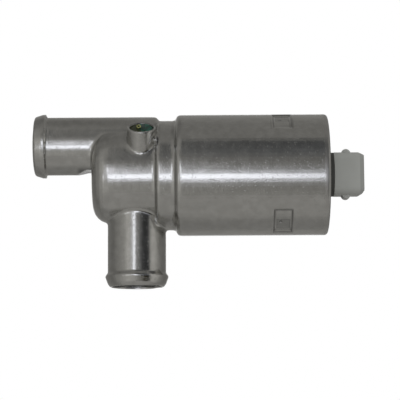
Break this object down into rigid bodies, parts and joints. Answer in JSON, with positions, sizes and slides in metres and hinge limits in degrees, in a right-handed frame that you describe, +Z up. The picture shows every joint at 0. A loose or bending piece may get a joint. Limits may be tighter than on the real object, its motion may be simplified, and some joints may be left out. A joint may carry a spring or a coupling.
{
  "type": "idle air control valve",
  "caption": "Round die-cast idle air control valve: two hose pipes, a rotary slide on a sprung shaft, a rotary magnet in the can and an electric plug at its end.",
  "frame": {"origin": "on the shaft's axis, at the middle of the motor can", "axes": "+X along the shaft towards the plug, +Z up and away from the outlet pipe, -Y towards the side that the stop screw's boss leans to"},
  "size_m": [0.1221, 0.045, 0.0644],
  "materials": {
    "cast_aluminium": "blasted die casting",
    "plated_steel": "yellow plated",
    "green_lacquer": "dried lacquer",
    "slide_alloy": "hard coated",
    "bright_steel": "ground",
    "bearing_steel": "polished",
    "brass": "turned",
    "spring_steel": "blued",
    "black_rubber": "moulded",
    "laminated_iron": "stamped sheets",
    "cream_plastic": "moulded",
    "enamelled_copper": "enamelled",
    "magnet": "sintered",
    "turned_aluminium": "turned",
    "dark_plastic": "moulded",
    "grey_plastic": "moulded",
    "tinned_brass": "tinned"
  },
  "bodies": {
    "body": {"housing": "cast_aluminium", "stop_screw": "plated_steel", "sealing_lacquer": "green_lacquer", "shaft_seal": "black_rubber", "front_bearing_outer": "bearing_steel", "front_bearing_ring": "spring_steel", "rear_bearing_outer": "bearing_steel", "preload_washer": "spring_steel", "return_spring": "spring_steel", "spring_post": "bright_steel", "magnet_stack": "laminated_iron", "upper_former": "cream_plastic", "lower_former": "cream_plastic", "upper_winding": "enamelled_copper", "lower_winding": "enamelled_copper", "spacer_ring": "turned_aluminium", "bearing_plate": "turned_aluminium", "wire_grommets": "black_rubber", "end_cap": "dark_plastic", "cap_seal": "black_rubber", "plug_shroud": "grey_plastic", "upper_blade": "tinned_brass", "lower_blade": "tinned_brass", "upper_lead": "enamelled_copper", "lower_lead": "enamelled_copper"},
    "rotor": {"shaft": "bright_steel", "rotary_slide": "slide_alloy", "slide_pin": "bright_steel", "front_bearing_inner": "bearing_steel", "rear_bearing_inner": "bearing_steel", "rear_shaft_ring": "spring_steel", "spring_hub": "brass", "rotor_core": "laminated_iron", "rotor_magnets": "magnet"},
    "front_balls": {"front_bearing_balls": "bearing_steel", "front_bearing_cage": "brass"},
    "rear_balls": {"rear_bearing_balls": "bearing_steel", "rear_bearing_cage": "brass"}
  },
  "joints": [
    {"name": "shaft_turn", "type": "hinge", "parent": "body", "child": "rotor", "pos_m": [0, 0, 0], "axis": [1, 0, 0], "range_deg": [0, 60], "stiffness_Nm_per_rad": 0.02, "springref_deg": -34.38, "deforming": ["return_spring"]},
    {"name": "front_balls_roll", "type": "hinge", "parent": "body", "child": "front_balls", "pos_m": [0, 0, 0], "axis": [1, 0, 0], "range_deg": [0, 24]},
    {"name": "rear_balls_roll", "type": "hinge", "parent": "body", "child": "rear_balls", "pos_m": [0, 0, 0], "axis": [1, 0, 0], "range_deg": [0, 24]}
  ],
  "couplings": [
    {"joint": "front_balls_roll", "follows": "shaft_turn", "ratio": 0.4},
    {"joint": "rear_balls_roll", "follows": "shaft_turn", "ratio": 0.4}
  ]
}
